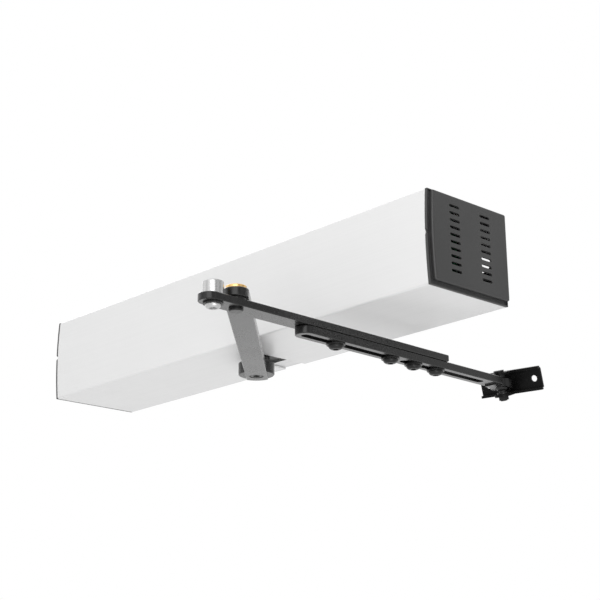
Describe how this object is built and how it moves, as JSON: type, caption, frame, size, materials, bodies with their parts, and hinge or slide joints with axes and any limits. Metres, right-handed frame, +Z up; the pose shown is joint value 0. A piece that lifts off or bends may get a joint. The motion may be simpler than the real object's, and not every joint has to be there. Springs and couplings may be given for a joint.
{
  "type": "door closer",
  "caption": "Powered swing-door closer: a long wall box with spindle drive, a closing spring and an articulated push arm that ends in a ball-jointed door bracket.",
  "frame": {"origin": "centre of the box's wall face, in line with the spindle across the box", "axes": "+X along the box to the right as seen from the room, -Y out of the wall to the room, +Z up"},
  "size_m": [0.7036, 0.5271, 0.1707],
  "materials": {
    "cover": "satin silver anodised extrusion",
    "end_caps": "dark grey moulded plastic, fine texture",
    "chassis": "mill finish extrusion",
    "gearbox_paint": "dark grey coat on a casting",
    "castings": "as cast, matt",
    "bright_steel": "ground",
    "polished_steel": "polished",
    "gears": "hobbed, oiled",
    "motor_shell": "black zinc",
    "rotor_steel": "laminated, varnished",
    "windings": "enamelled copper",
    "spring_steel": "oiled spring wire",
    "black_screws": "black oxide",
    "black_plastic": "moulded",
    "circuit_board": "green solder resist",
    "brass_parts": "turned, satin",
    "terminals": "moulded",
    "hub_steel": "satin black over turned steel",
    "arm_paint": "satin dark grey powder coat",
    "bracket_paint": "satin black powder coat"
  },
  "bodies": {
    "chassis": {"back_plate": "chassis", "cover": "cover", "end_cap_left": "end_caps", "end_cap_right": "end_caps", "gearbox_housing": "gearbox_paint", "gearbox_lid": "castings", "lid_screws": "black_screws", "lower_bearing": "bright_steel", "upper_bearing": "bright_steel", "motor_can": "motor_shell", "motor_end_bell": "castings", "motor_stator": "windings", "spring_tube": "motor_shell", "spring_end_plug": "bright_steel", "spring_seat": "bright_steel", "spring_adjuster": "black_screws", "closing_spring": "spring_steel", "spring_saddles": "castings", "rack_guide": "black_plastic", "control_board": "circuit_board", "board_standoffs": "brass_parts", "capacitors": "black_plastic", "relays": "black_plastic", "heat_sink": "castings", "terminal_blocks": "terminals", "transformer_core": "rotor_steel", "transformer_coils": "windings", "transformer_feet": "bright_steel"},
    "arm": {"spindle": "bright_steel", "drive_gear": "gears", "spring_pinion": "gears", "arm_hub": "hub_steel", "main_lever": "arm_paint", "hub_screw": "black_screws", "elbow_bush": "brass_parts"},
    "layshaft_set": {"layshaft": "bright_steel", "layshaft_pinion": "gears", "layshaft_gear": "gears"},
    "motor_set": {"motor_shaft": "bright_steel", "motor_rotor": "rotor_steel", "motor_pinion": "gears", "encoder_disc": "black_plastic"},
    "rack_set": {"return_rack": "gears", "spring_plunger": "bright_steel"},
    "link": {"link_bar": "arm_paint", "elbow_pin": "hub_steel", "elbow_spacer": "hub_steel", "elbow_clip": "black_screws", "stop_post": "polished_steel", "post_washer": "black_screws", "post_screw": "polished_steel", "clamp_screws": "black_screws", "clamp_washers": "black_screws"},
    "sliding_bar": {"slotted_bar": "arm_paint"},
    "pivot": {"pivot_ball": "hub_steel", "pivot_bolt": "black_screws", "pivot_nut": "black_screws"},
    "bracket": {"door_bracket": "bracket_paint"}
  },
  "joints": [
    {"name": "spindle_turn", "type": "hinge", "parent": "chassis", "child": "arm", "pos_m": [0, -0.0664, -0.0695], "axis": [0, 0, 1], "range_deg": [0, 110], "stiffness_Nm_per_rad": 3, "springref_deg": -20.05},
    {"name": "layshaft_turn", "type": "hinge", "parent": "chassis", "child": "layshaft_set", "pos_m": [0.054, -0.0664, -0.03], "axis": [0, 0, 1], "range_deg": [-386, 1]},
    {"name": "motor_turn", "type": "hinge", "parent": "chassis", "child": "motor_set", "pos_m": [0.0885, -0.0664, 0.01], "axis": [0, 0, 1], "range_deg": [-1, 1092]},
    {"name": "rack_slide", "type": "slide", "parent": "chassis", "child": "rack_set", "axis": [1, 0, 0], "range_m": [-0.0308, 0.0001], "deforming": ["closing_spring"]},
    {"name": "elbow_turn", "type": "hinge", "parent": "arm", "child": "link", "pos_m": [0.23123, -0.29974, -0.0815], "axis": [0, 0, 1], "range_deg": [-84, 170]},
    {"name": "link_extend", "type": "slide", "parent": "link", "child": "sliding_bar", "axis": [-0.0325, 0.9995, 0], "range_m": [-0.002, 0.0165]},
    {"name": "bracket_tilt", "type": "hinge", "parent": "sliding_bar", "child": "pivot", "pos_m": [0.21679, 0.14473, -0.0958], "axis": [0.9724, 0.2334, 0], "range_deg": [-44, 6]},
    {"name": "bracket_turn", "type": "hinge", "parent": "pivot", "child": "bracket", "pos_m": [0.21679, 0.14473, -0.0958], "axis": [0.076, -0.3166, 0.9455], "range_deg": [-90, 70]}
  ],
  "couplings": [
    {"joint": "layshaft_turn", "follows": "spindle_turn", "ratio": -3.5},
    {"joint": "motor_turn", "follows": "spindle_turn", "ratio": 9.9167},
    {"joint": "rack_slide", "follows": "spindle_turn", "m_per_rad": -0.016}
  ]
}
